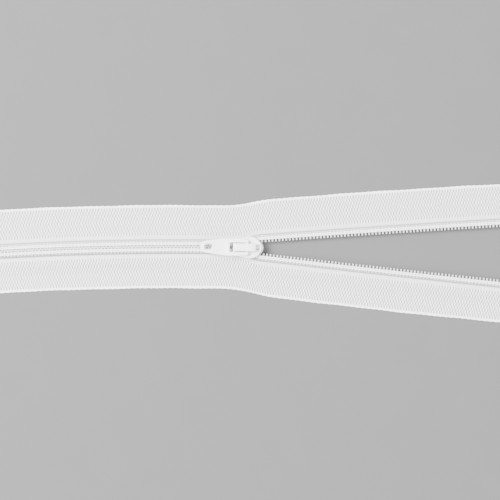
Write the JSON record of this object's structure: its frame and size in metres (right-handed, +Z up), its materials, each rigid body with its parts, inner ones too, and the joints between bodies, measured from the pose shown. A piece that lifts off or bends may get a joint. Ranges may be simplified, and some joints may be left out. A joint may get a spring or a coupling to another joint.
{
  "type": "zipper",
  "caption": "Closed-end zipper with nylon coils sewn to two woven tapes, stops and a locking slider with a hinged pull, shown half open; sewn into garments and bags",
  "frame": {"origin": "middle of the underside of the slider body, on the surface that the zipper lies on", "axes": "+X along the chain at the slider, towards the open end; +Y across the tapes to the left tape; +Z up out of the coil face"},
  "size_m": [0.2406, 0.052, 0.0055],
  "materials": {
    "woven_tape": "white twill-woven polyester tape, matte",
    "nylon_coil": "white nylon monofilament, satin",
    "core_cord": "white twisted polyester cord, matte",
    "sewing_thread": "white polyester sewing thread",
    "stop_plastic": "white moulded stop, satin",
    "white_enamel": "white stoved enamel on zinc, gloss",
    "spring_steel": "thin bright spring steel"
  },
  "bodies": {
    "closed_end": {"left_tape_tail": "woven_tape", "right_tape_tail": "woven_tape", "bottom_stop": "stop_plastic"},
    "left_closed_arm": {"left_tape_closed_run": "woven_tape", "left_coil_closed_run": "nylon_coil", "left_core_cord_closed_run": "core_cord", "left_stitching_closed_run": "sewing_thread"},
    "left_open_arm": {"left_tape_open_run": "woven_tape", "left_coil_open_run": "nylon_coil", "left_core_cord_open_run": "core_cord", "left_stitching_open_run": "sewing_thread", "left_top_stop": "stop_plastic"},
    "right_closed_arm": {"right_tape_closed_run": "woven_tape", "right_coil_closed_run": "nylon_coil", "right_core_cord_closed_run": "core_cord", "right_stitching_closed_run": "sewing_thread"},
    "right_open_arm": {"right_tape_open_run": "woven_tape", "right_coil_open_run": "nylon_coil", "right_core_cord_open_run": "core_cord", "right_stitching_open_run": "sewing_thread", "right_top_stop": "stop_plastic"},
    "turns_in_slider": {"left_coil_in_slider": "nylon_coil", "right_coil_in_slider": "nylon_coil"},
    "slider": {"slider_body": "white_enamel", "slider_cap": "white_enamel", "lock_spring": "spring_steel"},
    "pull": {"pull_tab": "white_enamel"},
    "lock": {"lock_hook": "spring_steel"}
  },
  "joints": [
    {"name": "unzip_travel", "type": "hinge", "parent": "closed_end", "child": "turns_in_slider", "pos_m": [0, -1, 0], "axis": [0, 0, -1], "range_deg": [-4.75, 0], "deforming": ["left_tape_closed_run", "left_coil_closed_run", "left_core_cord_closed_run", "left_stitching_closed_run", "left_coil_in_slider", "right_tape_closed_run", "right_coil_closed_run", "right_core_cord_closed_run", "right_stitching_closed_run", "right_coil_in_slider"]},
    {"name": "zip_travel", "type": "slide", "parent": "turns_in_slider", "child": "slider", "axis": [1, 0, 0], "range_m": [0, 0.10682], "deforming": ["left_tape_open_run", "left_coil_open_run", "left_core_cord_open_run", "left_stitching_open_run", "right_tape_open_run", "right_coil_open_run", "right_core_cord_open_run", "right_stitching_open_run"]},
    {"name": "left_closed_run_opening", "type": "hinge", "parent": "closed_end", "child": "left_closed_arm", "pos_m": [-0.10146, -0.00516, 0], "axis": [0, 0, 1], "range_deg": [0, 5]},
    {"name": "right_closed_run_opening", "type": "hinge", "parent": "closed_end", "child": "right_closed_arm", "pos_m": [-0.10146, -0.00516, 0], "axis": [0, 0, -1], "range_deg": [0, 5]},
    {"name": "left_open_run_closing", "type": "hinge", "parent": "left_closed_arm", "child": "left_open_arm", "pos_m": [-0.0188, 0, 0], "axis": [0, 0, -1], "range_deg": [0, 5]},
    {"name": "right_open_run_closing", "type": "hinge", "parent": "right_closed_arm", "child": "right_open_arm", "pos_m": [-0.0188, 0, 0], "axis": [0, 0, 1], "range_deg": [0, 5]},
    {"name": "pull_tab_swing", "type": "hinge", "parent": "slider", "child": "pull", "pos_m": [-0.00047, 0, 0.0043], "axis": [0, 1, 0], "range_deg": [0, 180]},
    {"name": "lock_hook_lift", "type": "hinge", "parent": "slider", "child": "lock", "pos_m": [0.0012, 0, 0.0049], "axis": [0, 1, 0], "range_deg": [0, 2.5], "stiffness_Nm_per_rad": 0.0004, "springref_deg": -2.86, "deforming": ["lock_spring"]}
  ],
  "couplings": [
    {"joint": "left_closed_run_opening", "follows": "unzip_travel", "ratio": -1.0534},
    {"joint": "right_closed_run_opening", "follows": "unzip_travel", "ratio": -1.0534},
    {"joint": "left_open_run_closing", "follows": "zip_travel", "rad_per_m": 0.8169},
    {"joint": "right_open_run_closing", "follows": "zip_travel", "rad_per_m": 0.8169}
  ]
}
